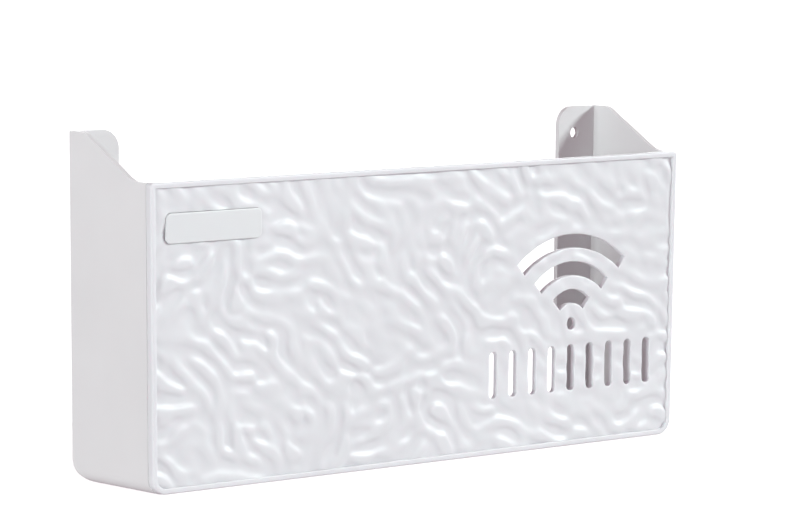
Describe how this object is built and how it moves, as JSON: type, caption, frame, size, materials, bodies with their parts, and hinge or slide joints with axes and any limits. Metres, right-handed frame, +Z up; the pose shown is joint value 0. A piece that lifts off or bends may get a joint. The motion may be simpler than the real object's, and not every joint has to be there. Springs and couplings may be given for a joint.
{
  "type": "wall-mounted router storage box",
  "caption": "Open-backed wall box that hides a router: a rimmed, rippled fascia with cut-out vents lifts off side panels with raised ears and wall flanges, over a slotted bottom tray.",
  "frame": {"origin": "middle of the underside", "axes": "+X to the right seen from the front, +Y back towards the wall, +Z up"},
  "size_m": [0.3, 0.054, 0.1455],
  "materials": {
    "fascia_abs": "white ABS, smooth and semi-gloss over the moulded ripples",
    "name_plate_abs": "white ABS, fine satin",
    "foam_tape": "thin white adhesive foam",
    "panel_abs": "white ABS, fine satin",
    "tray_abs": "white ABS, fine satin",
    "screw_steel": "zinc plated"
  },
  "bodies": {
    "box": {"left_side_panel": "panel_abs", "right_side_panel": "panel_abs", "bottom_tray": "tray_abs", "left_tray_screws": "screw_steel", "right_tray_screws": "screw_steel"},
    "fascia": {"front_fascia": "fascia_abs", "name_plate": "name_plate_abs", "name_plate_tape": "foam_tape"}
  },
  "joints": [
    {"name": "fascia_lift", "type": "slide", "parent": "box", "child": "fascia", "axis": [0, 0, 1], "range_m": [0, 0.13]}
  ]
}
